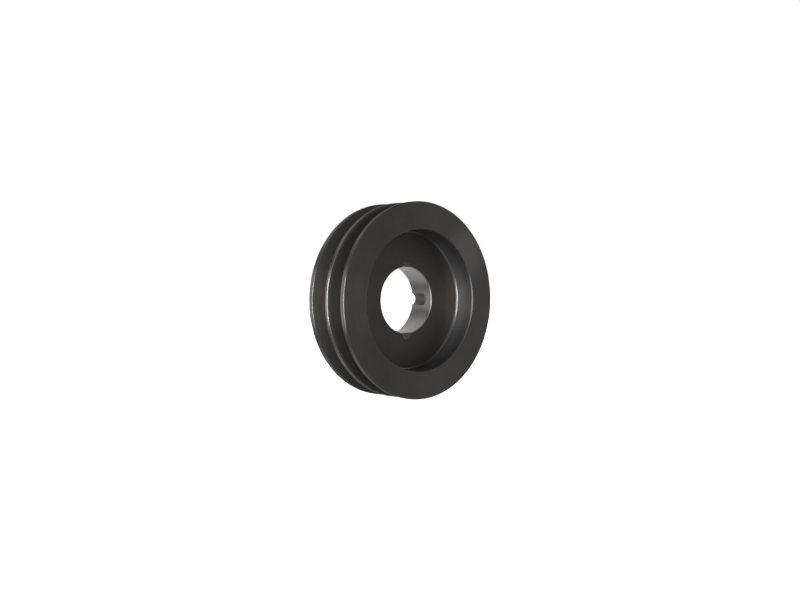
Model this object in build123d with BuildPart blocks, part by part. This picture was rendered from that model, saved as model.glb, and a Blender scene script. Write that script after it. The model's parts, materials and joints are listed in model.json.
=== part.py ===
from build123d import *
import math
import os

# A two-groove V-belt pulley, one iron casting turned all over and bored for a taper bush.
# Millimetres. The pulley turns about +Y, its recessed front faces -Y, and +Z is up.
# The origin is the middle of the face width, on the axis.

# Belt grooves, SPB section
PITCH_DIAMETER = 150.0
PITCH_WIDTH = 14.0  # groove width on the pitch diameter
GROOVE_ANGLE = 34.0  # between the two flanks
ABOVE_PITCH = 3.5  # pitch diameter to outside diameter, on the radius
BELOW_PITCH = 14.0  # pitch diameter to groove bottom, on the radius
GROOVE_COUNT = 2
GROOVE_SPACING = 19.0
EDGE_TO_GROOVE = 12.5  # rim face to the nearest groove's centre
GROOVE_BOTTOM_FILLET = 1.0
RIM_EDGE_FILLET = 0.5

# Recess in the front, down to the web
RECESS_RADIUS = 56.4
RECESS_FILLET = 2.0
RECESS_CHAMFER = 0.8

# Taper bore for a size 1610 bush, its large end flush with the back of the pulley
BUSH_LENGTH = 25.4
BORE_LARGE_RADIUS = 28.575
BORE_TAPER = 4.0  # degrees on each side
SMALL_END_CHAMFER = 0.7
LARGE_END_CHAMFER = 0.3

# Half-holes beside the bore, all on one circle
HOLE_CIRCLE_RADIUS = 26.99
SCREW_HOLE_COUNT = 2
THREAD_MAJOR_RADIUS = 4.7625  # 3/8 inch, 16 turns per inch
THREAD_PITCH = 1.5875
THREAD_DEPTH = 0.640 * THREAD_PITCH
THREAD_HALF_ANGLE = 27.5
REMOVAL_POCKET_RADIUS = 4.95
REMOVAL_POCKET_DEPTH = 16.0  # of the full bore, before the drill point
DRILL_HALF_ANGLE = 59.0
OVERCUT = 1.0  # how far a cut runs past the face that it opens
RADIUS_TOLERANCE = 0.001  # for choosing edges by their radius

outer_radius = PITCH_DIAMETER / 2 + ABOVE_PITCH
groove_bottom_radius = PITCH_DIAMETER / 2 - BELOW_PITCH
face_width = 2 * EDGE_TO_GROOVE + (GROOVE_COUNT - 1) * GROOVE_SPACING
front_y = -face_width / 2
back_y = face_width / 2
web_front_y = back_y - BUSH_LENGTH
recess_depth = web_front_y - front_y
flank_slope = math.tan(math.radians(GROOVE_ANGLE / 2))
bore_slope = math.tan(math.radians(BORE_TAPER))
thread_minor_radius = THREAD_MAJOR_RADIUS - THREAD_DEPTH
thread_turns = round(BUSH_LENGTH / THREAD_PITCH)
thread_flank = THREAD_DEPTH * math.tan(math.radians(THREAD_HALF_ANGLE))
thread_root_half = (THREAD_PITCH / 2 - thread_flank) / 2
thread_mouth_half = thread_root_half + thread_flank

# Plane.XZ looks towards -Y, so a positive extrusion from either plane leaves through the front
FRONT_FACE = Plane.XZ.offset(-front_y)
BACK_FACE = Plane.XZ.offset(-back_y)


def groove_half_width(radius):
    """Half the groove's width on a given radius."""
    return PITCH_WIDTH / 2 + (radius - PITCH_DIAMETER / 2) * flank_slope


def bore_radius(y):
    """The taper bore's radius at a place along the axis."""
    return BORE_LARGE_RADIUS - (back_y - y) * bore_slope


def circles(part, radius):
    """The part's circular edges of a given radius."""
    return part.edges().filter_by(GeomType.CIRCLE).filter_by(
        lambda edge: math.isclose(edge.radius, radius, abs_tol=RADIUS_TOLERANCE)
    )


with BuildPart() as pulley:
    # The blank, with the front recess
    with BuildSketch(BACK_FACE):
        Circle(outer_radius)
    extrude(amount=face_width)
    with BuildSketch(FRONT_FACE):
        Circle(RECESS_RADIUS)
    extrude(amount=-recess_depth, mode=Mode.SUBTRACT)
    recess_edges = circles(pulley, RECESS_RADIUS).sort_by(Axis.Y)
    fillet(recess_edges[-1], RECESS_FILLET)
    chamfer(recess_edges[0], RECESS_CHAMFER)

    # The V grooves
    cut_radius = outer_radius + OVERCUT
    with BuildSketch(Plane.XY) as grooves:
        for index in range(GROOVE_COUNT):
            centre_y = front_y + EDGE_TO_GROOVE + index * GROOVE_SPACING
            with Locations((0, centre_y)):
                Polygon(
                    (groove_bottom_radius, -groove_half_width(groove_bottom_radius)),
                    (cut_radius, -groove_half_width(cut_radius)),
                    (cut_radius, groove_half_width(cut_radius)),
                    (groove_bottom_radius, groove_half_width(groove_bottom_radius)),
                    align=None,
                )
        fillet(grooves.vertices().group_by(Axis.X)[0], GROOVE_BOTTOM_FILLET)
    revolve(axis=Axis.Y, mode=Mode.SUBTRACT)
    fillet(circles(pulley, outer_radius), RIM_EDGE_FILLET)

    # The taper bore
    with BuildSketch(Plane.XY):
        Polygon(
            (0, web_front_y - OVERCUT),
            (bore_radius(web_front_y - OVERCUT), web_front_y - OVERCUT),
            (bore_radius(back_y + OVERCUT), back_y + OVERCUT),
            (0, back_y + OVERCUT),
            align=None,
        )
    revolve(axis=Axis.Y, mode=Mode.SUBTRACT)
    chamfer(circles(pulley, bore_radius(web_front_y)), SMALL_END_CHAMFER)
    chamfer(circles(pulley, bore_radius(back_y)), LARGE_END_CHAMFER)

    # Two half-holes for the tightening screws, through the hub above and below the bore
    with BuildSketch(BACK_FACE):
        with PolarLocations(HOLE_CIRCLE_RADIUS, SCREW_HOLE_COUNT, start_angle=90):
            Circle(thread_minor_radius)
    extrude(amount=BUSH_LENGTH, mode=Mode.SUBTRACT)

    # Their threads, as rings of the thread's own section
    for hole_z in (HOLE_CIRCLE_RADIUS, -HOLE_CIRCLE_RADIUS):
        with BuildSketch(Plane.YZ):
            for turn in range(thread_turns):
                with Locations((web_front_y + (turn + 0.5) * THREAD_PITCH, hole_z)):
                    Polygon(
                        (-thread_mouth_half, thread_minor_radius),
                        (-thread_root_half, THREAD_MAJOR_RADIUS),
                        (thread_root_half, THREAD_MAJOR_RADIUS),
                        (thread_mouth_half, thread_minor_radius),
                        align=None,
                    )
        revolve(axis=Axis((0, 0, hole_z), (0, 1, 0)), mode=Mode.SUBTRACT)

    # The blind half-hole that the removal screw pushes on, drilled from the back
    with BuildSketch(Plane.XY):
        Polygon(
            (HOLE_CIRCLE_RADIUS, back_y + OVERCUT),
            (HOLE_CIRCLE_RADIUS + REMOVAL_POCKET_RADIUS, back_y + OVERCUT),
            (HOLE_CIRCLE_RADIUS + REMOVAL_POCKET_RADIUS, back_y - REMOVAL_POCKET_DEPTH),
            (
                HOLE_CIRCLE_RADIUS,
                back_y
                - REMOVAL_POCKET_DEPTH
                - REMOVAL_POCKET_RADIUS / math.tan(math.radians(DRILL_HALF_ANGLE)),
            ),
            align=None,
        )
    revolve(axis=Axis((HOLE_CIRCLE_RADIUS, 0, 0), (0, 1, 0)), mode=Mode.SUBTRACT)

pulley.part.label = "pulley"
os.makedirs("parts", exist_ok=True)
export_step(pulley.part, "parts/pulley.step")
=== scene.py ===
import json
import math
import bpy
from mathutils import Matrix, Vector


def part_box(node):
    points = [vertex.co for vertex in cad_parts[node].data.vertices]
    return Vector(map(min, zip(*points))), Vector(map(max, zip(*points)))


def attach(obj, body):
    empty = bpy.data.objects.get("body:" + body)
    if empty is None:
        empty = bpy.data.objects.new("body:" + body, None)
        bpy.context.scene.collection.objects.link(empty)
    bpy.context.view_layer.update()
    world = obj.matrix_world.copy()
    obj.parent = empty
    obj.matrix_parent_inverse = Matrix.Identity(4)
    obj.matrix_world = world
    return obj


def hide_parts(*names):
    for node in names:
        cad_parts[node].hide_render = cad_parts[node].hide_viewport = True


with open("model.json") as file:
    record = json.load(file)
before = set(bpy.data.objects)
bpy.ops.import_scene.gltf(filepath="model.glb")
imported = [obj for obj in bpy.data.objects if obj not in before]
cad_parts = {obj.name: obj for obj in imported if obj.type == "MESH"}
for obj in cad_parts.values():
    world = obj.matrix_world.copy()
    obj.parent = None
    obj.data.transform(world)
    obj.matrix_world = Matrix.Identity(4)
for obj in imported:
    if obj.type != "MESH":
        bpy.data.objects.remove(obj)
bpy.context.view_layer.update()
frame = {"record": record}

# Looks for a two-groove V-belt pulley: dark phosphated iron, turned all over, with a bright taper bore.
# Metres, in the part's own frame: the pulley's axis is Y, its recessed front faces -Y, +Z is up.

from types import SimpleNamespace

import bmesh
import bpy
from mathutils import Matrix, Vector

scene = bpy.context.scene
MM = 0.001

# ---------------------------------------------------------------- sizes, from the frame
pulley_low, pulley_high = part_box("pulley")
mounts = {mount["name"]: mount for mount in frame["record"]["mounts"]}
bore_dims = mounts["taper_bore"]["dims"]
screw_dims = mounts["screw_half_holes"]["dims"]
pocket_dims = mounts["removal_pocket"]["dims"]

FRONT = pulley_low.y
BACK = pulley_high.y
OUTER_RADIUS = pulley_high.x
BORE_LARGE_RADIUS = bore_dims["r_mm"] * MM
BORE_LENGTH = bore_dims["length_mm"] * MM
HOLE_CIRCLE_RADIUS = screw_dims["pcd_mm"] * MM / 2
THREAD_MINOR = screw_dims["hole_r_mm"] * MM
POCKET_RADIUS = pocket_dims["r_mm"] * MM
POCKET_DEPTH = pocket_dims["length_mm"] * MM
PITCH_RADIUS = mounts["front_groove"]["pos_m"][2]
GROOVE_CENTRES = [mounts[name]["pos_m"][1] for name in ("front_groove", "back_groove")]
WEB_FRONT = BACK - BORE_LENGTH

# The rest of the section, which the frame doesn't state
PITCH_WIDTH = 14 * MM               # of a groove, on the pitch circle
GROOVE_BELOW_PITCH = 14 * MM
GROOVE_HALF_ANGLE = math.radians(17)
GROOVE_BOTTOM_FILLET = 1.0 * MM
RIM_FILLET = 0.5 * MM
RECESS_RADIUS = 56.4 * MM
RECESS_FILLET = 2.0 * MM
RECESS_CHAMFER = 0.8 * MM
BORE_TAPER = math.radians(4)        # on each side
SMALL_END_CHAMFER = 0.7 * MM
LARGE_END_CHAMFER = 0.3 * MM
THREAD_PITCH = 1.5875 * MM
THREAD_DEPTH = 0.640 * THREAD_PITCH
THREAD_HALF_ANGLE = math.radians(27.5)
DRILL_HALF_ANGLE = math.radians(59)

FLANK_SLOPE = math.tan(GROOVE_HALF_ANGLE)
GROOVE_BOTTOM = PITCH_RADIUS - GROOVE_BELOW_PITCH
BORE_SLOPE = math.tan(BORE_TAPER)
THREAD_FLANK = THREAD_DEPTH * math.tan(THREAD_HALF_ANGLE)
THREAD_FLAT = (THREAD_PITCH - 2 * THREAD_FLANK) / 2

ROUND_STEPS = 384      # around the axis
FILLET_STEPS = 6       # in each rounded corner
THREAD_STEPS = 64      # around each screw hole
OVERCUT = 1.5 * MM     # how far the pocket's drill runs past the back
SHARP_ANGLE = math.radians(30)

# One turn of a screw hole's thread, as (distance along the hole, depth) corners
THREAD_PROFILE = [
    (0, 0),
    (THREAD_FLAT, 0),
    (THREAD_FLAT + THREAD_FLANK, THREAD_DEPTH),
    (2 * THREAD_FLAT + THREAD_FLANK, THREAD_DEPTH),
]
# Its cutter has two turns in front of the hub and one behind it
SCREW_START = WEB_FRONT - 2 * THREAD_PITCH
SCREW_TURNS = round(BORE_LENGTH / THREAD_PITCH) + 3

# Places in the casting's list of materials
PHOSPHATED, BORED, DRILLED = range(3)


# ---------------------------------------------------------------- shape
def groove_half_width(radius):
    """Half a groove's width at a radius."""
    return PITCH_WIDTH / 2 + (radius - PITCH_RADIUS) * FLANK_SLOPE


def bore_radius(y):
    """The taper bore's radius at a place along the axis."""
    return BORE_LARGE_RADIUS - (BACK - y) * BORE_SLOPE


def rounded(corners):
    """The closed outline of (radius, y, fillet) corners, with each fillet as an arc of short sides."""
    outline = []
    for index, (radius, y, fillet) in enumerate(corners):
        here = Vector((radius, y))
        if fillet == 0:
            outline.append(here)
            continue
        before = Vector(corners[index - 1][:2])
        after = Vector(corners[(index + 1) % len(corners)][:2])
        to_before = (before - here).normalized()
        to_after = (after - here).normalized()
        half = to_before.angle(to_after) / 2
        centre = here + (to_before + to_after).normalized() * fillet / math.sin(half)
        start = here + to_before * fillet / math.tan(half) - centre
        end = here + to_after * fillet / math.tan(half) - centre
        sweep = (math.pi - 2 * half) * (1 if start.cross(end) > 0 else -1)
        for step in range(FILLET_STEPS + 1):
            outline.append(centre + Matrix.Rotation(sweep * step / FILLET_STEPS, 2) @ start)
    return outline


def pulley_section():
    """The pulley's half section, from the bore's small end round the rim to the bore's large end."""
    corners = [
        (bore_radius(WEB_FRONT + SMALL_END_CHAMFER), WEB_FRONT + SMALL_END_CHAMFER, 0),
        (bore_radius(WEB_FRONT) + SMALL_END_CHAMFER, WEB_FRONT, 0),
        (RECESS_RADIUS, WEB_FRONT, RECESS_FILLET),
        (RECESS_RADIUS, FRONT + RECESS_CHAMFER, 0),
        (RECESS_RADIUS + RECESS_CHAMFER, FRONT, 0),
        (OUTER_RADIUS, FRONT, RIM_FILLET),
    ]
    for centre in GROOVE_CENTRES:
        mouth = groove_half_width(OUTER_RADIUS)
        bottom = groove_half_width(GROOVE_BOTTOM)
        corners += [
            (OUTER_RADIUS, centre - mouth, RIM_FILLET),
            (GROOVE_BOTTOM, centre - bottom, GROOVE_BOTTOM_FILLET),
            (GROOVE_BOTTOM, centre + bottom, GROOVE_BOTTOM_FILLET),
            (OUTER_RADIUS, centre + mouth, RIM_FILLET),
        ]
    corners += [
        (OUTER_RADIUS, BACK, RIM_FILLET),
        (BORE_LARGE_RADIUS + LARGE_END_CHAMFER, BACK, 0),
        (bore_radius(BACK - LARGE_END_CHAMFER), BACK - LARGE_END_CHAMFER, 0),
    ]
    return rounded(corners)


def finish_by_radius(radius):
    """The bore and its chamfers are bare, and everything further out has its coat."""
    return BORED if radius < BORE_LARGE_RADIUS + LARGE_END_CHAMFER else PHOSPHATED


def as_object(name, mesh):
    """An object of the mesh, with its faces turned outwards. The mesh is used up."""
    bmesh.ops.recalc_face_normals(mesh, faces=mesh.faces)
    data = bpy.data.meshes.new(name)
    mesh.to_mesh(data)
    mesh.free()
    made = bpy.data.objects.new(name, data)
    scene.collection.objects.link(made)
    return made


def turned(name, outline, steps, finish, closed=True):
    """The outline turned about Y. finish gives each band's material from the radius of its middle.

    An outline that isn't closed starts and ends on the axis.
    """
    mesh = bmesh.new()
    angles = [2 * math.pi * step / steps for step in range(steps)]
    rings = []
    for radius, y in outline:
        if radius == 0:
            rings.append([mesh.verts.new((0, y, 0))] * steps)
            continue
        ring = [(radius * math.cos(angle), y, radius * math.sin(angle)) for angle in angles]
        rings.append([mesh.verts.new(place) for place in ring])
    pairs = list(zip(rings, rings[1:]))
    if closed:
        pairs.append((rings[-1], rings[0]))
    for number, (ring, following) in enumerate(pairs):
        middle = (outline[number][0] + outline[(number + 1) % len(outline)][0]) / 2
        for step in range(steps):
            beside = (step + 1) % steps
            around = (ring[step], ring[beside], following[beside], following[step])
            face = mesh.faces.new(list(dict.fromkeys(around)))
            face.material_index = finish(middle)
    return as_object(name, mesh)


def screw_line(step):
    """The screw's outline along its length, at one step around it. Its first and last turns are plain."""
    angle = 2 * math.pi * step / THREAD_STEPS
    line = []
    for turn in range(SCREW_TURNS):
        plain = turn in (0, SCREW_TURNS - 1)
        for along, depth in THREAD_PROFILE:
            y = SCREW_START + THREAD_PITCH * (turn + step / THREAD_STEPS) + along
            radius = THREAD_MINOR if plain else THREAD_MINOR + depth
            line.append((radius * math.cos(angle), y, -radius * math.sin(angle)))
    return line


def close_end(mesh, edge, y):
    """A cone of triangles from a closed edge to a tip on the axis."""
    tip = mesh.verts.new((0, y, 0))
    for here, following in zip(edge, edge[1:] + edge[:1]):
        mesh.faces.new((here, following, tip))


def thread_cutter(name):
    """A screw along Y, longer than the hub, whose thread is a right-hand helix."""
    mesh = bmesh.new()
    lines = []
    for step in range(THREAD_STEPS):
        lines.append([mesh.verts.new(place) for place in screw_line(step)])

    # The last line's neighbour is the first, one turn further along
    per_turn = len(THREAD_PROFILE)
    for line, beside in zip(lines, lines[1:] + [lines[0][per_turn:]]):
        for number in range(len(beside) - 1):
            mesh.faces.new((line[number], line[number + 1], beside[number + 1], beside[number]))

    # Each end's edge climbs one turn round the screw and comes back along a line. Its tip is a turn further
    low_edge = [line[0] for line in lines] + lines[0][per_turn:0:-1]
    high_edge = [line[-1] for line in lines] + lines[-1][-2 : -per_turn - 2 : -1]
    close_end(mesh, low_edge, SCREW_START - THREAD_PITCH)
    close_end(mesh, high_edge, SCREW_START + (SCREW_TURNS + 2) * THREAD_PITCH)
    for face in mesh.faces:
        face.material_index = DRILLED
    return as_object(name, mesh)


def pocket_cutter(name):
    """The drill that makes the removal pocket, along Y, with its pointed end towards -Y."""
    shoulder = BACK - POCKET_DEPTH
    outline = [
        (0, shoulder - POCKET_RADIUS / math.tan(DRILL_HALF_ANGLE)),
        (POCKET_RADIUS, shoulder),
        (POCKET_RADIUS, BACK + OVERCUT),
        (0, BACK + OVERCUT),
    ]
    return turned(name, outline, THREAD_STEPS, lambda radius: DRILLED, closed=False)


def apply_modifiers(piece):
    """Gives the piece the mesh that its modifiers make."""
    bpy.context.view_layer.update()
    shown = piece.evaluated_get(bpy.context.evaluated_depsgraph_get())
    data = bpy.data.meshes.new_from_object(shown)
    piece.modifiers.clear()
    piece.data = data


def cut(piece, cutter, place):
    """Moves the cutter to its place, takes it out of the piece and removes it."""
    cutter.data.transform(Matrix.Translation(place))
    modifier = piece.modifiers.new("cut", "BOOLEAN")
    modifier.operation = "DIFFERENCE"
    modifier.solver = "EXACT"
    modifier.object = cutter
    apply_modifiers(piece)
    bpy.data.objects.remove(cutter)


def casting():
    """The whole pulley: the section turned, then the screw holes above and below, and the pocket."""
    piece = turned("pulley_casting", pulley_section(), ROUND_STEPS, finish_by_radius)
    for side in (1, -1):
        cut(piece, thread_cutter("thread_cutter"), Vector((0, 0, side * HOLE_CIRCLE_RADIUS)))
    cut(piece, pocket_cutter("pocket_cutter"), Vector((HOLE_CIRCLE_RADIUS, 0, 0)))
    piece.data.shade_smooth()
    piece.data.set_sharp_from_angle(angle=SHARP_ANGLE)
    evened = piece.modifiers.new("even_normals", "WEIGHTED_NORMAL")
    evened.keep_sharp = True
    return piece


# ---------------------------------------------------------------- materials
# The phosphate coat's colours
COAT_GREY = (0.160, 0.156, 0.152, 1)
COAT_WARM_GREY = (0.165, 0.150, 0.138, 1)
HOLLOW_BROWN = (0.155, 0.132, 0.113, 1)
WALL_GREY = (0.155, 0.157, 0.161, 1)
# Painted highlight on the recess's fillet
CORNER_HIGHLIGHT = (0.27, 0.27, 0.27, 1)
# The lip: grey where its highlight falls, painted, and rust, its own colour
LIP_HIGHLIGHT_GREY = (0.27, 0.27, 0.275, 1)
LIP_RUST = (0.27, 0.19, 0.13, 1)
RUBBED_GREY = (0.34, 0.34, 0.345, 1)
# Rounded rib edges: the outer ribs', and the middle rib's, paler as a painted highlight
OUTER_EDGES = (0.23, 0.23, 0.23, 1)
MIDDLE_EDGE_HIGHLIGHT = (0.54, 0.54, 0.54, 1)

# Bare iron's colours, each the darker and the paler of a mottled pair
BORE_COLOURS = ((0.52, 0.515, 0.51, 1), (0.58, 0.57, 0.56, 1))
HOLE_COLOURS = ((0.28, 0.275, 0.27, 1), (0.34, 0.33, 0.32, 1))
POCKET_CLEAN_AND_LIT = (0.33, 0.325, 0.32, 1)

COAT_ROUGHNESS = 0.295
BORE_ROUGHNESS = 0.42
HOLE_ROUGHNESS = 0.5

FACE_HIGHLIGHT_PLACE = Vector((48 * MM, FRONT, 37 * MM))     # the middle of a painted highlight on the front face
END_RIB = 4 * MM        # about the width of the two outer ribs, at the rim
QUARTER_TURN = 0.25     # turns the gloss's wide direction from along the lathe's marks to across them

# Sockets of a colour mix node, whose names repeat for each kind of data
MIX_SHARE, MIX_FIRST, MIX_LAST = 0, 6, 7
MIX_RESULT = 2


class Nodes:
    """One material's node tree, with short ways to add to it. A value is a number, a colour or a socket."""

    def __init__(self, name):
        self.material = bpy.data.materials.new(name)
        self.material.use_nodes = True
        self.tree = self.material.node_tree
        self.tree.nodes.clear()
        self.place = self.add("ShaderNodeTexCoord").outputs["Object"]
        self.x, self.y, self.z = self.add("ShaderNodeSeparateXYZ", {"Vector": self.place}).outputs
        x_squared = self.math("MULTIPLY", self.x, self.x)
        z_squared = self.math("MULTIPLY", self.z, self.z)
        self.radius = self.math("SQRT", self.math("ADD", x_squared, z_squared))

    def add(self, kind, inputs=None, **settings):
        """A node with these settings and with these values in its sockets."""
        node = self.tree.nodes.new(kind)
        for name, value in settings.items():
            setattr(node, name, value)
        for name, value in (inputs or {}).items():
            if isinstance(value, bpy.types.NodeSocket):
                self.tree.links.new(value, node.inputs[name])
            else:
                node.inputs[name].default_value = value
        return node

    def math(self, operation, *values):
        return self.add("ShaderNodeMath", dict(enumerate(values)), operation=operation).outputs[0]

    def both(self, first, last):
        """The product of two masks, or of a mask and a weight."""
        return self.math("MULTIPLY", first, last)

    def either(self, first, last):
        """The larger of two masks."""
        return self.math("MAXIMUM", first, last)

    def ramp(self, value, low, high, first=0.0, last=1.0):
        """first below low, last above high, and a smooth change between them."""
        inputs = {"Value": value, "From Min": low, "From Max": high, "To Min": first, "To Max": last}
        return self.add("ShaderNodeMapRange", inputs, interpolation_type="SMOOTHSTEP").outputs["Result"]

    def between(self, value, low, high, soft):
        """A mask of 1 between low and high, whose ends fade over soft to each side."""
        rise = self.ramp(value, low - soft, low + soft)
        return self.both(rise, self.ramp(value, high - soft, high + soft, 1.0, 0.0))

    def blend(self, share, first, last, kind="MIX"):
        """The first colour, with this share of the last."""
        inputs = {MIX_SHARE: share, MIX_FIRST: first, MIX_LAST: last}
        return self.add("ShaderNodeMix", inputs, data_type="RGBA", blend_type=kind).outputs[MIX_RESULT]

    def mottle(self, size, detail=3.0):
        """Noise with blotches of this size."""
        inputs = {"Vector": self.place, "Scale": 1 / size, "Detail": detail}
        return self.add("ShaderNodeTexNoise", inputs).outputs["Fac"]

    def marks(self, pitch, drift, detail=2.0):
        """Noise in rings about the axis, as a lathe leaves it: about pitch apart, and drift long."""
        along = self.math("MULTIPLY_ADD", self.y, 1 / pitch, self.math("MULTIPLY", self.z, 1 / drift))
        out = self.math("MULTIPLY_ADD", self.radius, 1 / pitch, self.math("MULTIPLY", self.x, 1 / drift))
        ring = self.add("ShaderNodeCombineXYZ", {"X": out, "Y": along}).outputs["Vector"]
        inputs = {"Vector": ring, "Scale": 1.0, "Detail": detail}
        return self.add("ShaderNodeTexNoise", inputs).outputs["Fac"]

    def sum(self, *terms):
        """The sum of (value, weight) pairs, each value counted from one half."""
        total = 0.0
        for value, weight in terms:
            total = self.math("MULTIPLY_ADD", self.math("SUBTRACT", value, 0.5), weight, total)
        return total

    def finish(self, colour, roughness, height, depth, metallic, across=0.0, grazing=1.0):
        """The shader, with bumps of this height and depth.

        across says how much wider its gloss spreads across the lathe's marks than along them.
        grazing says how bright the gloss is at a grazing angle, beside bare metal's.
        """
        bump = self.add("ShaderNodeBump", {"Height": height, "Distance": depth, "Strength": 1.0})
        tangent = self.add("ShaderNodeTangent", direction_type="RADIAL", axis="Y")
        shader = self.add("ShaderNodeBsdfPrincipled", {
            "Base Color": colour,
            "Roughness": roughness,
            "Metallic": metallic,
            "Specular Tint": (grazing, grazing, grazing, 1),
            "Anisotropic": across,
            "Anisotropic Rotation": QUARTER_TURN,
            "Normal": bump.outputs["Normal"],
            "Tangent": tangent.outputs["Tangent"],
        })
        self.add("ShaderNodeOutputMaterial", {"Surface": shader.outputs["BSDF"]})
        return self.material


def coat_noise(n):
    """The coat's unevenness, from the lathe's fine marks to wide patches."""
    return SimpleNamespace(
        fine=n.marks(0.35 * MM, 25 * MM),
        coarse=n.marks(1.8 * MM, 40 * MM),
        clouds=n.mottle(16 * MM),
        patches=n.mottle(45 * MM),
        grain=n.mottle(0.7 * MM, 2.0),
    )


def coat_masks(n, grain):
    """Masks of the places where the coat looks different."""
    in_rim = n.between(n.radius, GROOVE_BOTTOM, OUTER_RADIUS - 2 * MM, 1.5 * MM)
    off_end_ribs = n.between(n.y, FRONT + END_RIB, BACK - END_RIB, 0.5 * MM)
    off_back = n.ramp(n.y, BACK - 2 * MM, BACK - 1 * MM, 1.0, 0.0)
    in_recess = n.ramp(n.radius, RECESS_RADIUS - RECESS_FILLET, RECESS_RADIUS, 1.0, 0.0)
    near_wall = n.between(n.radius, RECESS_RADIUS - 0.5 * MM, RECESS_RADIUS + 0.2 * MM, 0.1 * MM)
    lip_ring = n.between(n.radius, RECESS_RADIUS, RECESS_RADIUS + RECESS_CHAMFER, 0.15 * MM)
    at_front = n.ramp(n.y, FRONT + RECESS_CHAMFER, FRONT + 2 * RECESS_CHAMFER, 1.0, 0.0)
    corner_ring = n.between(
        n.radius, RECESS_RADIUS - 0.9 * RECESS_FILLET, RECESS_RADIUS - 0.05 * MM, 0.1 * MM
    )
    behind_wall = n.between(n.y, WEB_FRONT - 0.9 * RECESS_FILLET, BACK - 2 * MM, 0.2 * MM)
    ragged_radius = n.math("ADD", n.radius, n.sum((grain, 1.2 * MM)))

    masks = SimpleNamespace()
    masks.grooves = n.both(in_rim, off_end_ribs)
    masks.web = n.both(off_back, in_recess)
    masks.wall = n.both(off_back, near_wall)                # of the recess
    masks.hollow = n.either(masks.grooves, n.either(masks.web, masks.wall))
    masks.lip = n.both(lip_ring, at_front)                  # the recess's chamfer
    masks.corner = n.both(corner_ring, behind_wall)         # the recess's fillet
    masks.front_face = n.ramp(n.y, FRONT + 0.2 * MM, FRONT + 0.5 * MM, 1.0, 0.0)

    # The ribs, from their lands inwards, and their rounded edges
    masks.rubbed = n.ramp(ragged_radius, OUTER_RADIUS - 0.9 * MM, OUTER_RADIUS)
    masks.edges = n.between(n.radius, OUTER_RADIUS - 0.6 * MM, OUTER_RADIUS - 0.03 * MM, 0.05 * MM)
    return masks


def coat_colour(n, noise, masks):
    """Grey, browner in the grooves and on the web, rusty on the lip and bright on worn edges, with painted
    highlights on the recess's fillet, the lip from 3 to 5 o'clock and the middle rib's edges.
    """
    web_share = n.ramp(n.math("ADD", n.x, n.z), -10 * MM, 30 * MM, 0.3, 1.0)
    cloud_share = n.ramp(noise.clouds, 0.35, 0.65, 0.3, 1.0)
    brown = n.both(n.either(masks.grooves, n.both(masks.web, web_share)), cloud_share)
    colour = n.blend(n.ramp(noise.patches, 0.35, 0.65), COAT_GREY, COAT_WARM_GREY)
    colour = n.blend(brown, colour, HOLLOW_BROWN)
    colour = n.blend(masks.wall, colour, WALL_GREY)

    # Painted highlight: the recess's fillet paler near 3 and 9 o'clock, and hardly elsewhere
    corner_highlight_share = n.ramp(n.math("ABSOLUTE", n.z), 36 * MM, 56 * MM, 0.8, 0.1)
    colour = n.blend(n.both(masks.corner, corner_highlight_share), colour, CORNER_HIGHLIGHT)

    # Rusty, which is the lip's own colour, except from about 3 to 5 o'clock, where a painted grey keeps the
    # lip's highlight white
    rust = n.either(n.ramp(n.z, 12 * MM, 22 * MM), n.ramp(n.x, 0, 30 * MM, 1.0, 0.0))
    colour = n.blend(n.both(masks.lip, 0.8), colour, n.blend(rust, LIP_HIGHLIGHT_GREY, LIP_RUST))

    # Painted highlight: the middle rib's rounded edges far paler than the outer ribs'
    middle_rib_highlight = n.between(n.y, -4 * MM, 4 * MM, 1 * MM)
    colour = n.blend(n.both(masks.rubbed, 0.65), colour, RUBBED_GREY)
    return n.blend(n.both(masks.edges, 0.9), colour, n.blend(middle_rib_highlight, OUTER_EDGES, MIDDLE_EDGE_HIGHLIGHT))


def coat_shade(n, noise, masks):
    """What the colour is multiplied by: a painted highlight on the front face, painted shade in the front
    groove, painted light and shade on the web and the recess's wall, streaked grooves and blotches.
    """
    from_face_highlight = n.add("ShaderNodeVectorMath", {0: n.place, 1: FACE_HIGHLIGHT_PLACE}, operation="DISTANCE")
    # Painted highlight: a paler patch on the front face, at about 1:30
    face_highlight = n.ramp(from_face_highlight.outputs["Value"], 8 * MM, 30 * MM, 0.55, 0.0)
    # Painted shade: the front groove darker than the back one
    front_groove_shade = n.ramp(n.y, -2 * MM, 2 * MM, -0.27, 0.03)
    # Painted light: a glow on the web's right side, towards 3 o'clock
    web_right_glow = n.ramp(n.x, 30 * MM, 50 * MM, 0.0, 0.3)
    # Painted light and shade: the recess's wall darker near the front and glowing near the web
    wall_glow_and_shade = n.ramp(n.y, FRONT + 4 * MM, WEB_FRONT - 4 * MM, -0.15, 0.25)
    painted = n.both(masks.front_face, face_highlight)
    painted = n.math("MULTIPLY_ADD", masks.grooves, front_groove_shade, painted)
    painted = n.math("MULTIPLY_ADD", masks.web, web_right_glow, painted)
    painted = n.math("MULTIPLY_ADD", masks.wall, wall_glow_and_shade, painted)
    streaks = n.both(masks.grooves, n.sum((noise.fine, 0.3), (noise.coarse, 0.3)))
    blotches = n.sum((noise.fine, 0.12), (noise.coarse, 0.10), (noise.clouds, 0.25), (noise.grain, 0.2))
    return n.math("ADD", n.math("ADD", blotches, streaks), n.math("ADD", painted, 1.0))


def coat_roughness(n, noise, masks):
    """Smoother where it's rubbed or worn, rougher in the hollows."""
    uneven = n.sum(
        (noise.fine, 0.08),
        (noise.clouds, 0.12),
        (noise.grain, 0.10),
        (masks.rubbed, -0.16),
        (masks.hollow, 0.04),
    )
    worn = n.sum((masks.edges, -0.08), (masks.corner, -0.17))
    return n.math("ADD", n.math("ADD", uneven, worn), COAT_ROUGHNESS)


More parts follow.
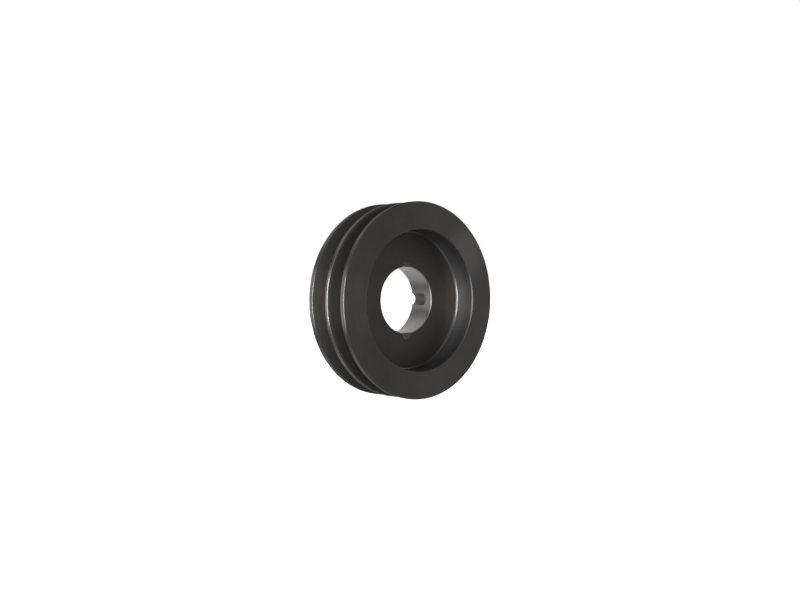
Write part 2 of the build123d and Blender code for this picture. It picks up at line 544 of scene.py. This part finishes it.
def phosphated_iron():
    """Dark satin phosphate coat over turned iron, browner in the hollows and rubbed bright on the rim, with
    painted highlights, glows and shade in places.
    """
    n = Nodes("phosphated_iron")
    noise = coat_noise(n)
    masks = coat_masks(n, noise.grain)
    colour = n.blend(1.0, coat_colour(n, noise, masks), coat_shade(n, noise, masks), "MULTIPLY")
    roughness = coat_roughness(n, noise, masks)
    height = n.sum((noise.fine, 1.0), (noise.coarse, 1.6), (noise.grain, 0.5))
    return n.finish(colour, roughness, height, depth=0.003 * MM, metallic=0.88, across=0.4, grazing=0.4)


def bored_iron():
    """Bare bright iron with a boring tool's marks."""
    n = Nodes("bored_iron")
    fine = n.marks(0.3 * MM, 20 * MM)
    coarse = n.marks(1.5 * MM, 30 * MM)
    clouds = n.mottle(9 * MM)
    grain = n.mottle(0.5 * MM, 2.0)
    colour = n.blend(n.ramp(clouds, 0.3, 0.7), *BORE_COLOURS)
    shade = n.math("ADD", n.sum((fine, 0.15), (coarse, 0.15), (grain, 0.2)), 1.0)
    colour = n.blend(1.0, colour, shade, "MULTIPLY")
    roughness = n.math("ADD", n.sum((fine, 0.08), (clouds, 0.10), (grain, 0.1)), BORE_ROUGHNESS)
    height = n.sum((fine, 1.0), (coarse, 2.0), (grain, 0.3))
    return n.finish(colour, roughness, height, depth=0.003 * MM, metallic=1.0)


def drilled_iron():
    """Bare iron in the tapped holes and the drilled pocket, dulled by cutting oil. The pocket is paler,
    partly as cleaner drilling and partly as painted light.
    """
    n = Nodes("drilled_iron")
    clouds = n.mottle(4 * MM)
    grain = n.mottle(0.35 * MM, 2.0)
    in_pocket = n.ramp(n.x, 15 * MM, 20 * MM)
    colour = n.blend(n.ramp(clouds, 0.3, 0.7), *HOLE_COLOURS)
    # Paler in the pocket: partly cleaner drilling, partly painted light
    colour = n.blend(in_pocket, colour, POCKET_CLEAN_AND_LIT)
    roughness = n.math("ADD", n.sum((clouds, 0.1), (grain, 0.15)), HOLE_ROUGHNESS)
    return n.finish(colour, roughness, grain, depth=0.004 * MM, metallic=1.0)


# ---------------------------------------------------------------- stage, light and camera
LIGHT_DISTANCE = 1.2
FLOOR_REACH = 40.0          # from its middle to each side
PAPER_GREY = 0.8
FLOOR_RADIANCE = 1.5        # of the lit paper, above 1 so that it is shown as pure white

# The photo's view, from a fit to the pulley's outlines. Angles in degrees, as direction takes them
CAMERA_AZIMUTH = -41.04
CAMERA_ELEVATION = 1.5
CAMERA_DISTANCE = 0.7317
CAMERA_ASIDE = -0.00333     # towards the camera's own right
CAMERA_LENS = 40.62         # millimetres, like the sensor's width
SENSOR_WIDTH = 36


def direction(azimuth, elevation):
    """From the pulley's middle outwards, by angles in degrees. Azimuth 0 is its front, and 90 its right."""
    azimuth = math.radians(azimuth)
    elevation = math.radians(elevation)
    return Vector((
        math.sin(azimuth) * math.cos(elevation),
        -math.cos(azimuth) * math.cos(elevation),
        math.sin(elevation),
    ))


def softbox(name, azimuth, elevation, wide, high, radiance):
    """A softbox aimed at the pulley's middle, as wide and high from there as these degrees."""
    away = direction(azimuth, elevation)
    data = bpy.data.lights.new(name, "AREA")
    data.shape = "RECTANGLE"
    narrowing = math.cos(math.radians(elevation))      # of a degree of azimuth, above or below the level
    data.size = 2 * LIGHT_DISTANCE * math.tan(math.radians(wide / 2)) * narrowing
    data.size_y = 2 * LIGHT_DISTANCE * math.tan(math.radians(high / 2))
    data.energy = radiance * math.pi * data.size * data.size_y
    light = bpy.data.objects.new(name, data)
    light.rotation_mode = "QUATERNION"
    light.rotation_quaternion = away.to_track_quat("Z", "Y")
    light.location = away * LIGHT_DISTANCE
    light.visible_camera = False
    scene.collection.objects.link(light)


def lights():
    """Five softboxes, and dim walls between them, above and below."""
    softbox("left_box", azimuth=-75, elevation=0, wide=15, high=40, radiance=14.0)
    softbox("front_left_box", azimuth=-40, elevation=0, wide=10, high=35, radiance=3.0)
    softbox("right_box", azimuth=110, elevation=10, wide=30, high=50, radiance=4.0)
    softbox("back_right_box", azimuth=160, elevation=0, wide=30, high=40, radiance=3.0)
    softbox("back_left_box", azimuth=-140, elevation=0, wide=15, high=45, radiance=1.0)
    softbox("left_wall", azimuth=-105, elevation=0, wide=15, high=40, radiance=0.8)
    softbox("front_wall", azimuth=-10, elevation=0, wide=30, high=40, radiance=0.6)
    softbox("right_wall", azimuth=60, elevation=0, wide=40, high=40, radiance=0.4)
    for height, up in (("high", 1), ("low", -1)):
        softbox(f"left_{height}_wall", azimuth=-120, elevation=50 * up, wide=40, high=20, radiance=1.0)
        softbox(f"front_{height}_wall", azimuth=0, elevation=40 * up, wide=35, high=40, radiance=0.3)
        softbox(f"right_{height}_wall", azimuth=75, elevation=30 * up, wide=60, high=20, radiance=0.9)
        softbox(f"back_{height}_wall", azimuth=165, elevation=35 * up, wide=60, high=25, radiance=0.55)


def paper_floor():
    """White paper that the pulley stands on. It neither lights the pulley nor shows in it."""
    mesh = bmesh.new()
    bmesh.ops.create_grid(mesh, x_segments=1, y_segments=1, size=FLOOR_REACH)
    sheet = as_object("floor", mesh)
    sheet.location.z = -OUTER_RADIUS
    sheet.visible_glossy = False
    sheet.visible_diffuse = False
    sheet.visible_shadow = False
    paper = bpy.data.materials.new("paper")
    paper.use_nodes = True
    shader = paper.node_tree.nodes["Principled BSDF"]
    shader.inputs["Base Color"].default_value = (PAPER_GREY, PAPER_GREY, PAPER_GREY, 1)
    shader.inputs["Roughness"].default_value = 1.0
    shader.inputs["Specular IOR Level"].default_value = 0.0
    sheet.data.materials.append(paper)
    return sheet


def floor_light(sheet):
    """A light for the floor alone, from straight above. It casts no shadow."""
    data = bpy.data.lights.new("floor_light", "SUN")
    data.energy = FLOOR_RADIANCE * math.pi / PAPER_GREY
    data.use_shadow = False
    lamp = bpy.data.objects.new("floor_light", data)
    scene.collection.objects.link(lamp)
    lit = bpy.data.collections.new("lit_floor")
    lit.objects.link(sheet)
    lamp.light_linking.receiver_collection = lit


def backdrop():
    """A world that the camera sees as white, and that lights nothing."""
    world = bpy.data.worlds.new("world")
    world.use_nodes = True
    scene.world = world
    nodes, links = world.node_tree.nodes, world.node_tree.links
    nodes.clear()
    path = nodes.new("ShaderNodeLightPath")
    seen = nodes.new("ShaderNodeBackground")
    seen.inputs["Color"].default_value = (1, 1, 1, 1)
    felt = nodes.new("ShaderNodeBackground")
    felt.inputs["Color"].default_value = (1, 1, 1, 1)
    felt.inputs["Strength"].default_value = 0.0
    mix = nodes.new("ShaderNodeMixShader")
    output = nodes.new("ShaderNodeOutputWorld")
    links.new(path.outputs["Is Camera Ray"], mix.inputs["Fac"])
    links.new(felt.outputs["Background"], mix.inputs[1])
    links.new(seen.outputs["Background"], mix.inputs[2])
    links.new(mix.outputs["Shader"], output.inputs["Surface"])


def place_camera():
    """The camera of the photo's view, looking past the pulley's middle by CAMERA_ASIDE."""
    back = direction(CAMERA_AZIMUTH, CAMERA_ELEVATION)
    turn = back.to_track_quat("Z", "Y")
    data = bpy.data.cameras.new("camera")
    data.lens = CAMERA_LENS
    data.sensor_width = SENSOR_WIDTH
    camera = bpy.data.objects.new("camera", data)
    camera.rotation_mode = "QUATERNION"
    camera.rotation_quaternion = turn
    camera.location = back * CAMERA_DISTANCE + turn @ Vector((CAMERA_ASIDE, 0, 0))
    scene.collection.objects.link(camera)
    scene.camera = camera


pulley = casting()
for material in (phosphated_iron(), bored_iron(), drilled_iron()):
    pulley.data.materials.append(material)
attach(pulley, "root")
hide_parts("pulley")

floor = paper_floor()
floor_light(floor)
backdrop()
lights()
place_camera()
scene.view_settings.view_transform = "Standard"
